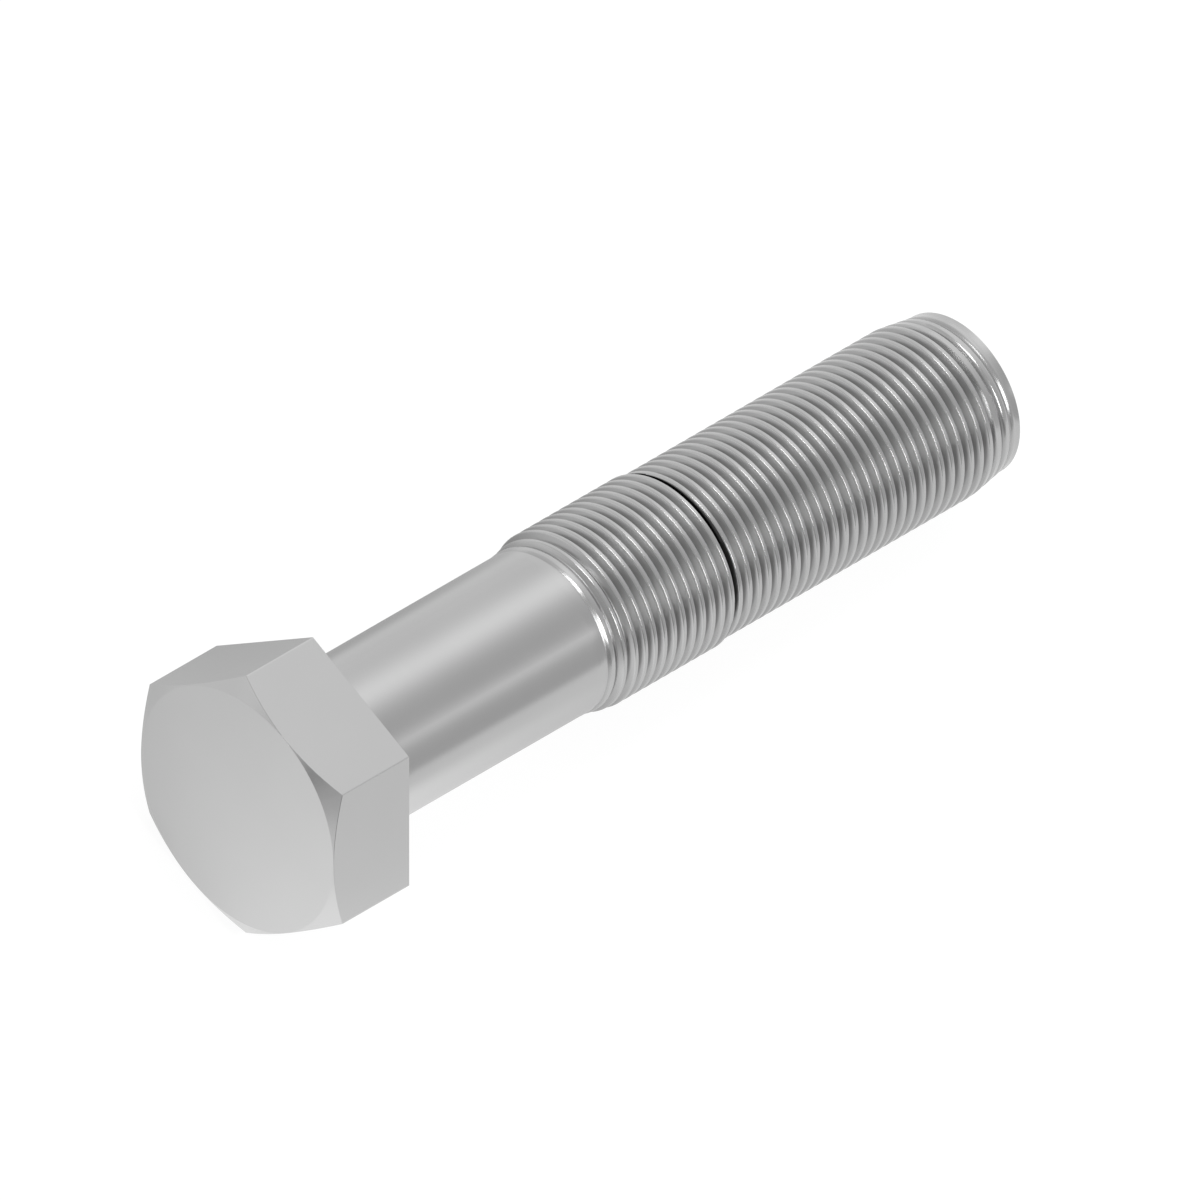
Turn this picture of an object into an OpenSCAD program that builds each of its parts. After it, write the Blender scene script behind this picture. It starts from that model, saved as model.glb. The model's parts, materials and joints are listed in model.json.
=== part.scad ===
// Hex cap screw with a plain shank and a long fine thread, one forged and rolled piece of steel.
// It lies as it comes to rest, on one flat of its head and the last full crest of its thread.
// The origin is the centre of the bearing face, and +X runs along the screw to its tip.
// The thread is given by the surface over its crests: run-out, two lengths, slit and point.

/* [Head] */
// Width of the hexagon across its flats
across_flats = 30; // [27:0.5:36]
// Height of the whole head, with the washer face
head_h = 12.1; // [9:0.1:16]
// Slope of the chamfer round the outer face, from the plane of that face
head_chamfer_angle = 30; // [15:1:40]
// How far the round edge of the outer face lies inside the flats
face_inset = 0.05; // [0:0.05:1]
// Height of the washer face under the hexagon
washer_h = 0.3; // [0.2:0.05:0.8]
// How far the edge of the washer face lies inside the flats
washer_inset = 0.75; // [0.4:0.05:1.2]

/* [Shank] */
// Diameter of the plain shank
shank_d = 20; // [17:0.1:21]
// Length of the plain shank, from the bearing face to the thread's run-out
plain_len = 34.2; // [15:0.1:45]
// Radius of the fillet between the bearing face and the shank
fillet_r = 0.8; // [0.4:0.1:1.2]

/* [Thread] */
// Length of the screw under its head
length = 100; // [85:1:200]
// Pitch of the thread, which also sets how deep the slit goes under its roots
pitch = 1.5; // [1:0.25:2]
// Diameter over the crests of the first length, next to the shank
crest_d = 21.7; // [21.3:0.05:22]
// Radius of the hollow sweep in which the run-out climbs from the shank to the crests
runout_r = 12; // [6:0.5:20]
// First length, from the start of the run-out to the slit
first_len = 20.3; // [10:0.1:25]
// Width of the slit between the two lengths
slit_w = 0.5; // [0.3:0.05:1]
// How much smaller the second length is over its crests
crest_drop = 0.55; // [0:0.05:0.8]

/* [Point] */
// Diameter of the smooth band at the end of the point
end_d = 19.6; // [17:0.1:20.4]
// Length of that band, with its bevel
end_band = 0.8; // [0.6:0.1:3]
// Slope of the point, from the screw's axis
point_angle = 8.9; // [5:0.1:30]
// Width of the bevel round the end face
end_bevel = 0.1; // [0.05:0.05:0.5]

/* [Hidden] */
$fn = 96;
// Steel with a plain, slightly satin finish
steel = [0.70, 0.70, 0.71];
corner_r = across_flats / 2 / cos(30);
face_r = across_flats / 2 - face_inset;
washer_r = across_flats / 2 - washer_inset;
shank_r = shank_d / 2;
crest_r = crest_d / 2;
second_crest_r = crest_r - crest_drop / 2;
runout_len = sqrt(2 * runout_r * (crest_r - shank_r) - pow(crest_r - shank_r, 2));
// The roots of the first length lie level with the shank, and the slit goes a quarter pitch deeper
thread_depth = crest_r - shank_r;
slit_at = plain_len + first_len;
slit_root_r = second_crest_r - thread_depth - pitch / 4;
end_r = end_d / 2;
point_at = length - end_band - (second_crest_r - end_r) / tan(point_angle);
// At rest the flat's edge by the washer face and the last full crest touch the ground
rest_tilt = atan((across_flats / 2 - second_crest_r) / (point_at + washer_h));

// Hexagon whose corners the chamfer cuts back, with one flat facing +X
module hexagon_prism() {
    intersection() {
        translate([0, 0, -head_h])
            rotate([0, 0, 30])
                cylinder(r = corner_r, h = head_h - washer_h, $fn = 6);
        rotate_extrude()
            polygon([
                [0, -head_h],
                [face_r, -head_h],
                [corner_r + 1, (corner_r + 1 - face_r) * tan(head_chamfer_angle) - head_h],
                [corner_r + 1, 0],
                [0, 0]
            ]);
    }
}

// Round seat that is turned under the hexagon, so that the flats' corners don't bite
module washer_face() {
    translate([0, 0, -washer_h - 1])
        cylinder(r = washer_r, h = washer_h + 1);
}

// Rounded corner under the head, which keeps the shank from breaking off there
module underhead_fillet() {
    rotate_extrude()
        difference() {
            translate([shank_r - 1, -washer_h])
                square([fillet_r + 1, fillet_r + washer_h]);
            translate([shank_r + fillet_r, fillet_r])
                circle(r = fillet_r);
        }
}

// Hollow sweep, tangent to the shank, in which the crests climb to their full height
module runout() {
    rotate_extrude()
        difference() {
            translate([shank_r - 1, plain_len])
                square([crest_r - shank_r + 1, runout_len]);
            translate([shank_r + runout_r, plain_len])
                circle(r = runout_r);
        }
}

// Plain shank, both lengths over their crests, slit between them and point in one turned outline
module turned_body() {
    rotate_extrude()
        polygon([
            [0, -washer_h],
            [shank_r, -washer_h],
            [shank_r, plain_len + runout_len],
            [crest_r, plain_len + runout_len],
            [crest_r, slit_at],
            [slit_root_r, slit_at],
            [slit_root_r, slit_at + slit_w],
            [second_crest_r, slit_at + slit_w],
            [second_crest_r, point_at],
            [end_r, length - end_band],
            [end_r, length - end_bevel],
            [end_r - end_bevel, length],
            [0, length]
        ]);
}

module cap_screw() {
    color(steel)
        rotate([0, 90 + rest_tilt, 0])
            union() {
                hexagon_prism();
                washer_face();
                underhead_fillet();
                runout();
                turned_body();
            }
}

cap_screw();
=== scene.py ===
import json
import math

import bmesh
import bpy
from mathutils import Matrix, Vector


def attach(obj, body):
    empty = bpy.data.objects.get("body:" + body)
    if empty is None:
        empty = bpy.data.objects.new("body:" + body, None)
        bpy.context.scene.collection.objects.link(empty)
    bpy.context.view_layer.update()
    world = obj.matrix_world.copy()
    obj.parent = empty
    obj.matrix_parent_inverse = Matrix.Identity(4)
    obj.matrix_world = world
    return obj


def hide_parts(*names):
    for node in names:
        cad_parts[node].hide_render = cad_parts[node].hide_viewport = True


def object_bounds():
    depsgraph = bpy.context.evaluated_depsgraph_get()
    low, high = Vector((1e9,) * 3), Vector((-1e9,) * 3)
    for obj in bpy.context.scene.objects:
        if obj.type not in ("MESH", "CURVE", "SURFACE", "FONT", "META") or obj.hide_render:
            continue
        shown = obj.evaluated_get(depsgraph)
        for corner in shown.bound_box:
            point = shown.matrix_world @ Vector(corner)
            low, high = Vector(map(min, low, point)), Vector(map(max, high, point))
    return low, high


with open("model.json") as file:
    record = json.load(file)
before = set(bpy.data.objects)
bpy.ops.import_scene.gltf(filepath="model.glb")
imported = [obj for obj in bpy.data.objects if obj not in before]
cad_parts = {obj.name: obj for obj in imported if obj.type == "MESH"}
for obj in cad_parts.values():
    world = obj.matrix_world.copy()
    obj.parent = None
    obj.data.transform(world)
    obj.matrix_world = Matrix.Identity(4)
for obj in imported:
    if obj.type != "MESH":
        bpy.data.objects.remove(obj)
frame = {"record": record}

cad_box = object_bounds()
MM = 0.001

# How the screw lies. It has rolled on to one flat of its head and the crests near its tip, so its
# axis dips a little towards the tip. Sizes are in mm, and heights run along the screw from its
# bearing face.
mounts = {mount["name"]: mount for mount in frame["record"]["mounts"]}
along = Vector(mounts["seat"]["axis"]).normalized()
sideways = Vector((0, 1, 0))
upward = along.cross(sideways)
dip = math.asin(-along.z)

# Head: a hexagon forged on the end of the bar, 30 mm across its flats. A turned chamfer cuts its
# corners back round the outer face, and a thin washer face and a fillet sit under it.
across_flats = 30.0
side_turn = 60
head_h = 12.1
chamfer_angle = math.radians(30)
face_inset = 0.05
face_r = across_flats / 2 - face_inset
washer_h = 0.3
washer_inset = 0.75
washer_r = across_flats / 2 - washer_inset
fillet_r = 0.8
edge = 0.04
widest_cut = 0.4
corner_round = 0.06
corner_turns = (-30, -10, 10, 30)
corner_gap = 0.6
column_step = 4

columns = []
for corner in range(0, 360, side_turn):
    middle = (across_flats / 2 - corner_round) / math.cos(math.radians(side_turn / 2))
    for turn in corner_turns:
        x = middle + corner_round * math.cos(math.radians(turn))
        y = corner_round * math.sin(math.radians(turn))
        columns.append((corner + math.degrees(math.atan2(y, x)), math.hypot(x, y)))
    for turn in [corner_gap, *range(column_step, side_turn, column_step), side_turn - corner_gap]:
        columns.append((corner + turn, across_flats / 2 / math.cos(math.radians(turn - side_turn / 2))))


def head_rows(hexagon_r):
    """Heights and radii from the outer face to the washer face, at a column of the hexagon."""
    slant = (hexagon_r - face_r) / math.cos(chamfer_angle)
    cut = min(edge, widest_cut * slant)
    rise = cut * math.sin(chamfer_angle)
    run = cut * math.cos(chamfer_angle)
    edge_h = -head_h + (hexagon_r - face_r) * math.tan(chamfer_angle)
    return [
        (-head_h, face_r - edge),
        (-head_h + rise, face_r + run),
        (edge_h - rise, hexagon_r - run),
        (edge_h + edge, hexagon_r),
        (-washer_h - edge, hexagon_r),
        (-washer_h, hexagon_r - edge),
        (-washer_h, washer_r),
        (-edge, washer_r),
        (0, washer_r - edge),
    ]


# Plain shank: turned to 20 mm, and left bare between the fillet and the thread's run-out. A ring
# close to each end of the fillet keeps its round shading off the washer face and the shank.
shank_r = 10.0
plain_len = 34.2
fillet_margin = 0.12
fillet_step = 15
shank_rows = [(0, shank_r + fillet_r + fillet_margin)]
for turn in range(0, 90 + fillet_step, fillet_step):
    shank_rows.append((
        fillet_r - fillet_r * math.cos(math.radians(turn)),
        shank_r + fillet_r - fillet_r * math.sin(math.radians(turn)),
    ))
shank_rows.append((fillet_r + fillet_margin, shank_r))
shank_rows.append((plain_len, shank_r))

# Thread: one right-hand helix of 1.5 mm pitch with 60 degree flanks and narrow flat crests, whose
# edges are rounded. It is rolled in two lengths: the first starts in a hollow run-out, the second
# ends in a tapered point. The rounds of crest and root are shares of the thread's depth.
pitch = 1.5
runout_r = 12.0
first_length = mounts["thread_by_shank"]
first_to = Vector(first_length["pos_m"]).dot(along) / MM + first_length["dims"]["length_mm"] / 2
crest_r = first_length["dims"]["r_mm"]
second_crest_r = mounts["thread"]["dims"]["r_mm"]
depth = crest_r - shank_r
root_r = second_crest_r - depth
flank_run = depth * math.tan(math.radians(30))
crest_half = 0.24
crest_round = 0.19
root_round = 0.06
length = 100.0
band_r = 9.8
band_len = 0.8
band_from = length - band_len
point_slope = math.tan(math.radians(8.9))
point_from = band_from - (second_crest_r - band_r) / point_slope
point_round = 0.04
worn_round = 0.06
softened = (96.6, 98.4)
groove_ends = (98.4, 99.1)
last_crest_gap = 0.8
crest_at = first_to - last_crest_gap
ridge_shares = (0.05, 0.098, 0.12, 0.142, 0.165, 0.19, 0.222, 0.42, 0.475)
ridge_points = [-share for share in reversed(ridge_shares)] + list(ridge_shares)
points_per_turn = len(ridge_points)


def smaller(a, b, blend):
    """The smaller of two values, with a round change between them."""
    return min(a, b) - max(blend - abs(a - b), 0) ** 2 / (4 * blend)


def change(h, stretch):
    """0 before a stretch of the screw, 1 past it, with a smooth change along it."""
    share = min(max((h - stretch[0]) / (stretch[1] - stretch[0]), 0), 1)
    return share * share * (3 - 2 * share)


def ridge(h, azimuth):
    """Share of the full thread depth, 1 on a crest and 0 in a root, and where that crest's middle is."""
    turns = (h - crest_at) / pitch - azimuth / 360
    off = abs(turns - round(turns)) * pitch
    flank = 1 - (off - crest_half) / flank_run
    middle = crest_at + (round(turns) + azimuth / 360) * pitch
    return -smaller(-smaller(flank, 1, crest_round), 0, root_round), middle


def first_radius(h, azimuth):
    """First length: the crests climb from the shank in a hollow sweep, the roots stay level with it.
    Gives the radius at this place and the radius over the crest beside it."""
    share, middle = ridge(h, azimuth)
    climb = max(middle - plain_len, 0)
    rise = depth
    if climb < runout_r:
        rise = min(depth, runout_r - math.sqrt(runout_r ** 2 - climb ** 2))
    return shank_r + rise * share, shank_r + rise


def second_radius(h, azimuth):
    """Second length: full thread up to the point, whose taper cuts the crests down, and whose last
    groove fades out. Gives the same two radii as the first length's."""
    share, middle = ridge(h, azimuth)
    cone = second_crest_r - (h - point_from) * point_slope
    outline = smaller(second_crest_r, max(cone, band_r), point_round)
    cut = smaller(root_r + depth * share, outline, worn_round)
    shallow = root_r + (outline - root_r) * share
    worn = cut + (shallow - cut) * change(h, softened)
    return worn + (outline - worn) * change(h, groove_ends), outline


# Slit: a narrow groove turned between the two lengths, deeper than their roots.
slit_w = 0.5
slit_from = first_to
slit_to = slit_from + slit_w
slit_r = root_r - pitch / 4

# End: the smooth band past the last turn, a small bevel and the flat end face.
end_bevel = 0.1
end_rows = [(length - end_bevel, band_r), (length, band_r - end_bevel)]

# The whole screw is one skin. Plain stretches are rings; the thread's rows climb with the helix,
# so one turn on each row meets the next, and the rows are laced to the rings where a length ends.
# Painted shade: darkening painted into the thread's roots, the slit and its edges where shade falls, which
# also makes the steel duller there: 0 on clean steel, and black from 1 on.
vertices = []
soil = []
faces = []
finish_of = []
HEAD, SHANK, THREAD = range(3)
row_clearance = 0.03
# Painted shade in the grooves and the slit: its strength towards the roots, how soon it comes in below a
# crest, how it grows towards the root, and its strength on the slit's walls and edges.
groove_painted_shade = 0.18
shade_onset_below_crest = 5
shade_towards_root = 0.35
slit_painted_shade = 4.0
slit_near_edge_shade = 0.7
slit_far_edge_shade = 1.5


def place(h, r, azimuth, painted_dark=0):
    """A vertex at a height along the screw, at a radius and an azimuth round its axis."""
    turn = math.radians(azimuth)
    point = along * h + (sideways * math.cos(turn) + upward * math.sin(turn)) * r
    vertices.append(point * MM)
    soil.append(painted_dark)
    return len(vertices) - 1


def skin(corners, finish):
    """A face between vertices, with one of the three finishes."""
    faces.append(corners)
    finish_of.append(finish)


def ring(rows_of_column):
    """A ring of vertices for each row; rows_of_column gives the heights, radii and painted shade of a
    column.
    """
    rows = []
    for azimuth, hexagon_r in columns:
        rows.append([place(h, r, azimuth, *painted_dark) for h, r, *painted_dark in rows_of_column(azimuth, hexagon_r)])
    return [list(row) for row in zip(*rows)]


def join(lower, upper, finish):
    """A band of faces between two rings."""
    for i in range(len(columns)):
        n = (i + 1) % len(columns)
        skin([lower[i], lower[n], upper[n], upper[i]], finish)


def lace(lower, upper, start, stop, radius, finish):
    """Thread rows between two rings. A row keeps its key round a turn, and starts the next turn with
    the key of the ridge that is one pitch further on."""
    turns = []
    for azimuth, hexagon_r in columns:
        rows = {}
        first_turn = math.floor((start - crest_at) / pitch - azimuth / 360) - 1
        last_turn = math.ceil((stop - crest_at) / pitch - azimuth / 360) + 1
        for turn in range(first_turn, last_turn + 1):
            for k, share in enumerate(ridge_points):
                h = crest_at + pitch * (azimuth / 360 + turn + share)
                if start + row_clearance < h < stop - row_clearance:
                    r, crest = radius(h, azimuth)
                    low = (crest - r) / depth
                    # Painted shade in the thread's grooves: darker the further a vertex lies below the
                    # crest beside it.
                    painted_dark = groove_painted_shade * (min(1, shade_onset_below_crest * low) + shade_towards_root * low)
                    rows[turn * points_per_turn + k] = place(h, r, azimuth, painted_dark)
        turns.append(rows)
    for i in range(len(columns)):
        n = (i + 1) % len(columns)
        here = turns[i]
        there = turns[n]
        if n == 0:
            there = {key - points_per_turn: vertex for key, vertex in there.items()}
        shared = sorted(set(here) & set(there))
        low, high = shared[0], shared[-1]
        skin([lower[i], lower[n]]
             + [there[key] for key in sorted(there) if key <= low]
             + [here[key] for key in sorted(here, reverse=True) if key <= low], finish)
        for key in shared[:-1]:
            skin([here[key], there[key], there[key + 1], here[key + 1]], finish)
        skin([there[key] for key in sorted(there) if key >= high]
             + [upper[n], upper[i]]
             + [here[key] for key in sorted(here, reverse=True) if key >= high], finish)


head_rings = ring(lambda azimuth, hexagon_r: head_rows(hexagon_r))
shank_rings = ring(lambda azimuth, hexagon_r: shank_rows)
# The slit's walls get painted shade dark enough to be black, and its edges a lighter painted shade.
slit_rings = ring(lambda azimuth, hexagon_r: [
    (slit_from, first_radius(slit_from, azimuth)[0], slit_near_edge_shade),
    (slit_from, slit_r, slit_painted_shade),
    (slit_to, slit_r, slit_painted_shade),
    (slit_to, second_radius(slit_to, azimuth)[0], slit_far_edge_shade),
])
end_rings = ring(lambda azimuth, hexagon_r: [(band_from, band_r)] + end_rows)
skin(list(reversed(head_rings[0])), HEAD)
for lower, upper in zip(head_rings, head_rings[1:]):
    join(lower, upper, HEAD)
join(head_rings[-1], shank_rings[0], HEAD)
for lower, upper in zip(shank_rings, shank_rings[1:]):
    join(lower, upper, SHANK)
lace(shank_rings[-1], slit_rings[0], plain_len, slit_from, first_radius, THREAD)
for lower, upper in zip(slit_rings, slit_rings[1:]):
    join(lower, upper, THREAD)
lace(slit_rings[-1], end_rings[0], slit_to, band_from, second_radius, THREAD)
for lower, upper in zip(end_rings, end_rings[1:]):
    join(lower, upper, THREAD)
skin(end_rings[-1], THREAD)

# Edges shade sharp where the faces beside them meet at more than this, on the head and past it.
head_top = 0.02
head_edge_angle = 12
other_edge_angle = 40
mesh = bpy.data.meshes.new("hex_cap_screw")
mesh.from_pydata(vertices, [], faces)
for polygon, finish in zip(mesh.polygons, finish_of):
    polygon.material_index = finish
    polygon.use_smooth = True
mesh.attributes.new("soil", "FLOAT", "POINT").data.foreach_set("value", soil)
shape = bmesh.new()
shape.from_mesh(mesh)
for side in shape.edges:
    h = (side.verts[0].co + side.verts[1].co).dot(along) / 2 / MM
    limit = head_edge_angle if h < head_top else other_edge_angle
    side.smooth = side.calc_face_angle(0) < math.radians(limit)
shape.to_mesh(mesh)
shape.free()
screw = bpy.data.objects.new("hex_cap_screw", mesh)
bpy.context.scene.collection.objects.link(screw)


# Finish: bare steel, satin from the tools. The grain group gives fine marks at a scale and a
# stretch along the screw; each finish below sets its own tone, roughness and depth of marks.
tone_spread = 0.025
rough_spread = 0.03
painted_shade_tone = 0.02
shaded_roughness = 0.6


def grain_group():
    """Height of the tool marks and slow clouds of tone, both 0 to 1, turned to the screw's dip."""
    group = bpy.data.node_groups.new("steel_grain", "ShaderNodeTree")
    for name, kind in (("Marks", "NodeSocketVector"), ("Clouds", "NodeSocketFloat")):
        group.interface.new_socket(name, in_out="INPUT", socket_type=kind)
    for name in ("Height", "Tone"):
        group.interface.new_socket(name, in_out="OUTPUT", socket_type="NodeSocketFloat")
    nodes, links = group.nodes, group.links
    source = nodes.new("NodeGroupInput")
    result = nodes.new("NodeGroupOutput")
    where = nodes.new("ShaderNodeTexCoord")
    turned = nodes.new("ShaderNodeMapping")
    turned.inputs["Rotation"].default_value = (0, -dip, 0)
    scaled = nodes.new("ShaderNodeVectorMath")
    scaled.operation = "MULTIPLY"
    marks = nodes.new("ShaderNodeTexNoise")
    marks.inputs["Scale"].default_value = 1
    marks.inputs["Detail"].default_value = 3
    clouds = nodes.new("ShaderNodeTexNoise")
    clouds.inputs["Detail"].default_value = 2
    links.new(where.outputs["Object"], turned.inputs["Vector"])
    links.new(turned.outputs["Vector"], scaled.inputs[0])
    links.new(source.outputs["Marks"], scaled.inputs[1])
    links.new(scaled.outputs["Vector"], marks.inputs["Vector"])
    links.new(turned.outputs["Vector"], clouds.inputs["Vector"])
    links.new(source.outputs["Clouds"], clouds.inputs["Scale"])
    links.new(marks.outputs["Fac"], result.inputs["Height"])
    links.new(clouds.outputs["Fac"], result.inputs["Tone"])
    return group


grain = grain_group()


def steel(name, tone, rough, marks, clouds, relief):
    """Bare steel: tone is its reflectance, marks the grain's scale along and across the screw,
    clouds the scale of its changes of tone and relief the depth of its marks. The painted shade
    attribute darkens it with painted shade and makes it duller."""
    material = bpy.data.materials.new(name)
    material.use_nodes = True
    nodes, links = material.node_tree.nodes, material.node_tree.links
    shader = nodes["Principled BSDF"]
    shader.inputs["Metallic"].default_value = 1
    marked = nodes.new("ShaderNodeGroup")
    marked.node_tree = grain
    marked.inputs["Marks"].default_value = marks
    marked.inputs["Clouds"].default_value = clouds
    colour = nodes.new("ShaderNodeMapRange")
    colour.inputs["To Min"].default_value = tone * (1 - tone_spread)
    colour.inputs["To Max"].default_value = tone * (1 + tone_spread)
    gloss = nodes.new("ShaderNodeMapRange")
    gloss.inputs["To Min"].default_value = rough - rough_spread
    gloss.inputs["To Max"].default_value = rough + rough_spread
    bump = nodes.new("ShaderNodeBump")
    bump.inputs["Strength"].default_value = 1
    bump.inputs["Distance"].default_value = relief * MM
    # Painted shade: the soil attribute darkens the base colour and dulls the roughness.
    painted_shade_input = nodes.new("ShaderNodeAttribute")
    painted_shade_input.attribute_name = "soil"
    darker = nodes.new("ShaderNodeMapRange")
    darker.inputs["To Min"].default_value = 1
    darker.inputs["To Max"].default_value = painted_shade_tone
    duller = nodes.new("ShaderNodeMath")
    duller.operation = "MULTIPLY_ADD"
    duller.use_clamp = True
    duller.inputs[1].default_value = shaded_roughness
    shaded_colour = nodes.new("ShaderNodeMath")
    shaded_colour.operation = "MULTIPLY"
    links.new(marked.outputs["Tone"], colour.inputs["Value"])
    links.new(painted_shade_input.outputs["Fac"], darker.inputs["Value"])
    links.new(colour.outputs["Result"], shaded_colour.inputs[0])
    links.new(darker.outputs["Result"], shaded_colour.inputs[1])
    links.new(shaded_colour.outputs[0], shader.inputs["Base Color"])
    links.new(marked.outputs["Height"], gloss.inputs["Value"])
    links.new(painted_shade_input.outputs["Fac"], duller.inputs[0])
    links.new(gloss.outputs["Result"], duller.inputs[2])
    links.new(duller.outputs[0], shader.inputs["Roughness"])
    links.new(marked.outputs["Height"], bump.inputs["Height"])
    links.new(bump.outputs["Normal"], shader.inputs["Normal"])
    return material


mesh.materials.append(steel(
    "steel_forged_head", tone=0.55, rough=0.22, marks=(2500, 2500, 2500), clouds=90, relief=0.0004))
mesh.materials.append(steel(
    "steel_turned_shank", tone=0.55, rough=0.22, marks=(5000, 60, 60), clouds=90, relief=0.0004))
mesh.materials.append(steel(
    "steel_rolled_thread", tone=0.55, rough=0.19, marks=(5000, 120, 120), clouds=90, relief=0.0003))
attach(screw, "root")
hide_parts("cap_screw")

# Floor: a plain sheet of white paper under the screw, wide enough to fill the view, that keeps the
# screw's soft shadow. To glossy rays the paper glows with a painted reflection instead: a level
# strength and one lighter and two darker painted pools of light and shade that the steel shows, each
# with its middle, its stretch along the floor's x axis, its radius and what it adds to the paper's
# strength.
floor_half = 0.6
paper_in_view = 1.13
paper_painted_in_steel = 0.90
paper_white = 0.8
glow_share = 0.8
painted_pools = (
    ((-9, -34), 1.0, 72, 0.56),
    ((27, 19), 1.2, 56, -0.43),
    ((-7, 8), 1.0, 9.3, -0.40),
)
floor_mesh = bpy.data.meshes.new("floor")
floor_h = cad_box[0].z
floor_mesh.from_pydata(
    [(-floor_half, -floor_half, floor_h), (floor_half, -floor_half, floor_h),
     (floor_half, floor_half, floor_h), (-floor_half, floor_half, floor_h)],
    [], [(0, 1, 2, 3)])
floor = bpy.data.objects.new("floor", floor_mesh)
bpy.context.scene.collection.objects.link(floor)
paper = bpy.data.materials.new("white_paper")
paper.use_nodes = True
nodes, links = paper.node_tree.nodes, paper.node_tree.links
nodes.clear()
place_on_floor = nodes.new("ShaderNodeTexCoord").outputs["Object"]
level = nodes.new("ShaderNodeValue").outputs[0]
level.default_value = paper_painted_in_steel
# Painted reflection: pools of painted light and painted shade added to the paper's glow, which only glossy
# rays see.
for centre, stretch, radius, strength in painted_pools:
    moved = nodes.new("ShaderNodeMapping")
    moved.vector_type = "TEXTURE"
    moved.inputs["Location"].default_value = (centre[0] * MM, centre[1] * MM, floor_h)
    moved.inputs["Scale"].default_value = (stretch * radius * MM, radius * MM, 1)
    away = nodes.new("ShaderNodeVectorMath")
    away.operation = "LENGTH"
    fall = nodes.new("ShaderNodeMapRange")
    fall.interpolation_type = "SMOOTHSTEP"
    fall.inputs["To Min"].default_value = strength
    fall.inputs["To Max"].default_value = 0
    add = nodes.new("ShaderNodeMath")
    links.new(place_on_floor, moved.inputs["Vector"])
    links.new(moved.outputs["Vector"], away.inputs[0])
    links.new(away.outputs["Value"], fall.inputs["Value"])
    links.new(level, add.inputs[0])
    links.new(fall.outputs["Result"], add.inputs[1])
    level = add.outputs[0]
path = nodes.new("ShaderNodeLightPath")
glow = nodes.new("ShaderNodeMix")
glow.inputs["A"].default_value = paper_in_view
links.new(path.outputs["Is Glossy Ray"], glow.inputs["Factor"])
links.new(level, glow.inputs["B"])
white = nodes.new("ShaderNodeEmission")
links.new(glow.outputs["Result"], white.inputs["Strength"])
matt = nodes.new("ShaderNodeBsdfDiffuse")
matt.inputs["Color"].default_value = (paper_white, paper_white, paper_white, 1)
seen = path.outputs["Is Camera Ray"]
for kind in ("Is Glossy Ray", "Is Transmission Ray"):
    either = nodes.new("ShaderNodeMath")
    either.operation = "MAXIMUM"
    links.new(seen, either.inputs[0])
    links.new(path.outputs[kind], either.inputs[1])
    seen = either.outputs[0]
share = nodes.new("ShaderNodeMath")
share.operation = "MULTIPLY"
share.inputs[1].default_value = glow_share
mix = nodes.new("ShaderNodeMixShader")
out = nodes.new("ShaderNodeOutputMaterial")
links.new(seen, share.inputs[0])
links.new(share.outputs[0], mix.inputs["Fac"])
links.new(matt.outputs[0], mix.inputs[1])
links.new(white.outputs[0], mix.inputs[2])
links.new(mix.outputs[0], out.inputs["Surface"])
floor_mesh.materials.append(paper)

# Studio: a grey room with pale and dark cards round the screw, before a white backdrop. Each card
# is a soft patch that the world holds in one direction; spread is the angle in degrees at which it
# has lost most of its strength.
room = 0.66
card_fall = 1.5
cards = (
    ("overhead", (0.53, 0.41, 0.74), 24, 0.64),
    ("past_the_tip", (0.89, 0.45, -0.04), 50, 0.65),
    ("near_edge", (0.56, -0.61, 0.56), 8.2, 0.54),
    ("behind_the_head", (-0.62, 0.78, -0.10), 50, 0.65),
    ("dark_end", (-0.99, -0.07, 0.13), 7, -0.52),
    ("dark_side", (-0.17, -0.95, 0.26), 25, -0.40),
)
world = bpy.data.worlds.new("studio")
bpy.context.scene.world = world
world.use_nodes = True
nodes, links = world.node_tree.nodes, world.node_tree.links
nodes.clear()
where = nodes.new("ShaderNodeTexCoord")
total = nodes.new("ShaderNodeValue").outputs[0]
total.default_value = room
for name, direction, spread, strength in cards:
    facing = nodes.new("ShaderNodeVectorMath")
    facing.operation = "DOT_PRODUCT"
    facing.inputs[1].default_value = Vector(direction).normalized()
    links.new(where.outputs["Generated"], facing.inputs[0])
    value = facing.outputs["Value"]
    fall = card_fall / (1 - math.cos(math.radians(spread)))
    for operation, number in (("SUBTRACT", 1), ("MULTIPLY", fall), ("EXPONENT", 0), ("MULTIPLY", strength)):
        step = nodes.new("ShaderNodeMath")
        step.operation = operation
        step.inputs[1].default_value = number
        links.new(value, step.inputs[0])
        value = step.outputs[0]
    add = nodes.new("ShaderNodeMath")
    add.operation = "ADD"
    add.label = name
    links.new(total, add.inputs[0])
    links.new(value, add.inputs[1])
    total = add.outputs[0]
studio = nodes.new("ShaderNodeBackground")
links.new(total, studio.inputs["Strength"])
backdrop = nodes.new("ShaderNodeBackground")
backdrop.inputs["Color"].default_value = (1, 1, 1, 1)
path = nodes.new("ShaderNodeLightPath")
seen = nodes.new("ShaderNodeMath")
seen.operation = "MAXIMUM"
mix = nodes.new("ShaderNodeMixShader")
out = nodes.new("ShaderNodeOutputWorld")
links.new(path.outputs["Is Camera Ray"], seen.inputs[0])
links.new(path.outputs["Is Transmission Ray"], seen.inputs[1])
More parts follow.
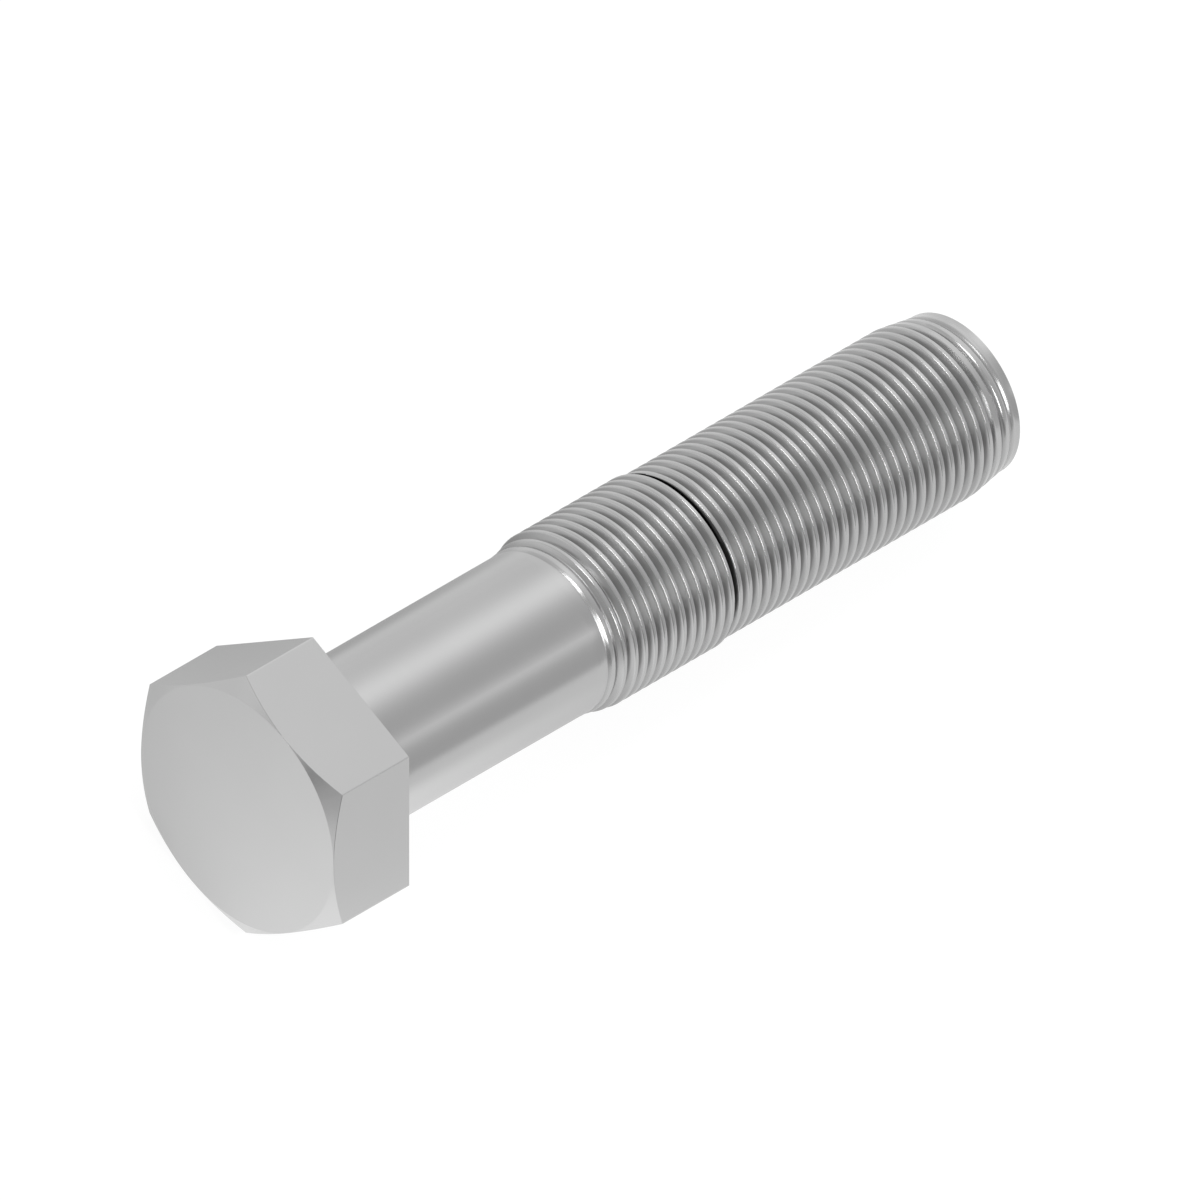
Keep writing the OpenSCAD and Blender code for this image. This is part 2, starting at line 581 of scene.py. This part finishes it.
links.new(seen.outputs[0], mix.inputs["Fac"])
links.new(studio.outputs[0], mix.inputs[1])
links.new(backdrop.outputs[0], mix.inputs[2])
links.new(mix.outputs[0], out.inputs["Surface"])

# Soft boxes: two small ones whose images are the white glints on the run-out and the point. They
# stand round the thread's middle; their distances and sizes are in metres.
box_middle = 0.06
box_far = 0.6
box_radiance = 7.0
for name, direction, size in (
    ("near_soft_box", (0.15, -0.71, 0.69), (0.13, 0.32)),
    ("top_soft_box", (-0.06, 0.30, 0.95), (0.13, 0.29)),
):
    lamp = bpy.data.lights.new(name, "AREA")
    lamp.shape = "RECTANGLE"
    lamp.size, lamp.size_y = size
    lamp.energy = box_radiance * math.pi * size[0] * size[1]
    box = bpy.data.objects.new(name, lamp)
    bpy.context.scene.collection.objects.link(box)
    toward = Vector(direction).normalized()
    lengthwise = (along - toward * toward.dot(along)).normalized()
    turned_to = Matrix((lengthwise, toward.cross(lengthwise), toward)).transposed().to_4x4()
    box.matrix_world = Matrix.Translation(along * box_middle + toward * box_far) @ turned_to

# Camera: an isometric view. The screw runs up to the right at 30 degrees, head towards the viewer,
# in a frame that holds 132 mm and whose middle lies to the right of the head and above it.
pixels_per_mm = 9.09
frame_px = 1200
right_of_head = 31.357
above_head = 18.09
camera_far = 0.5
camera_reach = 5
toward_right = sideways * -math.cos(math.radians(30)) + upward * math.sin(math.radians(30))
toward_top = sideways * math.sin(math.radians(30)) + upward * math.cos(math.radians(30))
back = (toward_right + toward_top - along).normalized()
right = (along + toward_right).normalized()
up = back.cross(right)
camera = bpy.data.objects.new("camera", bpy.data.cameras.new("camera"))
camera.data.type = "ORTHO"
camera.data.ortho_scale = frame_px / pixels_per_mm * MM
camera.data.clip_end = camera_reach
bpy.context.scene.collection.objects.link(camera)
place_of_camera = (right * right_of_head + up * above_head) * MM + back * camera_far
camera.matrix_world = Matrix.Translation(place_of_camera) @ Matrix((right, up, back)).transposed().to_4x4()
bpy.context.scene.camera = camera

view = bpy.context.scene.view_settings
view.view_transform = "Standard"
